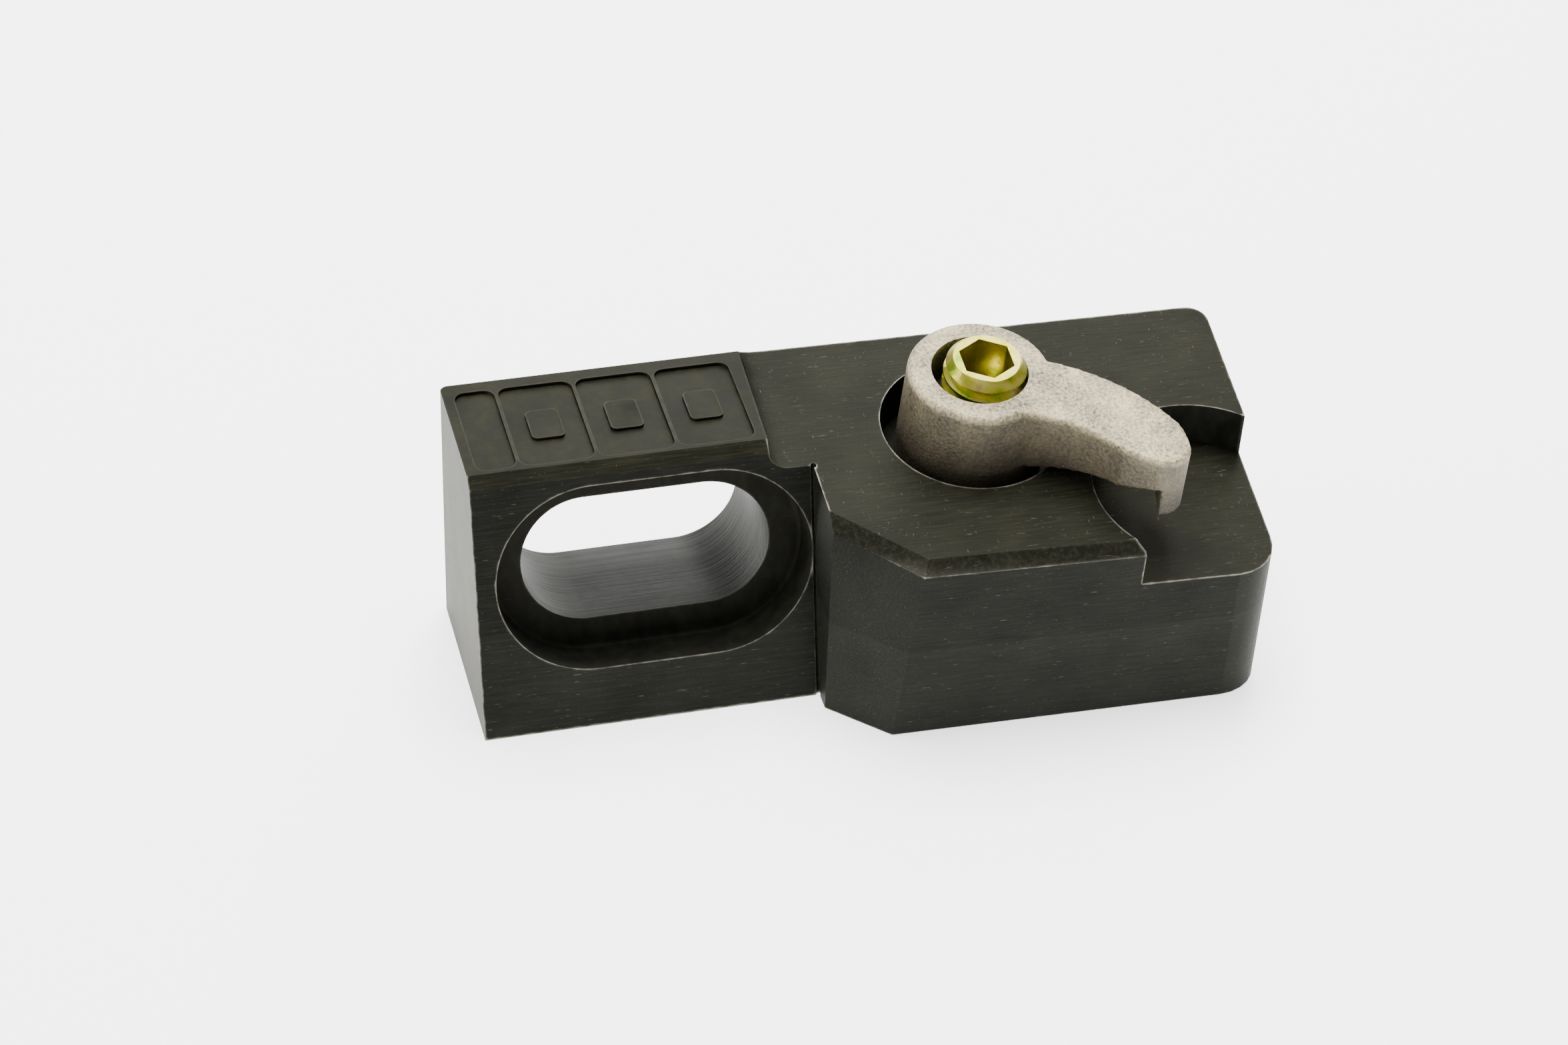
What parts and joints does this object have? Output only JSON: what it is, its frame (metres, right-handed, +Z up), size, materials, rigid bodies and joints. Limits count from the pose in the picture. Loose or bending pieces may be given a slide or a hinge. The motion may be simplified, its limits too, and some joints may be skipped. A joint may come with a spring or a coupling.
{
  "type": "clamp-type tool-holder cartridge",
  "caption": "Steel tool-holder cartridge with a slotted mounting flange, a round-backed insert seat, and a cast clamp finger drawn down by a double-ended screw.",
  "frame": {"origin": "on the base face, under the middle of the mounting slot and half way through the block's depth", "axes": "+X along the block from the slot to the insert seat, +Y to the flat back face, +Z up from the base"},
  "size_m": [0.0768, 0.0314, 0.0327],
  "materials": {
    "blackened_steel": "black oxide over milled steel, worn bright at the edges",
    "cast_steel": "investment cast and blasted, matte beige-grey",
    "zinc_steel": "yellow zinc plate, bright"
  },
  "bodies": {
    "holder": {"holder_body": "blackened_steel"},
    "screw": {"clamp_screw": "zinc_steel"},
    "clamp": {"clamp_finger": "cast_steel"}
  },
  "joints": [
    {"name": "clamp_lift", "type": "slide", "parent": "holder", "child": "clamp", "axis": [0.02, -0.1398, 0.99], "range_m": [0, 0.0042]},
    {"name": "screw_turn", "type": "hinge", "parent": "holder", "child": "screw", "pos_m": [0.0326, -0.00209, 0.02389], "axis": [0.02, -0.1398, 0.99], "range_deg": [0, 540]}
  ],
  "couplings": [
    {"joint": "screw_turn", "follows": "clamp_lift", "rad_per_m": 2226.5}
  ]
}
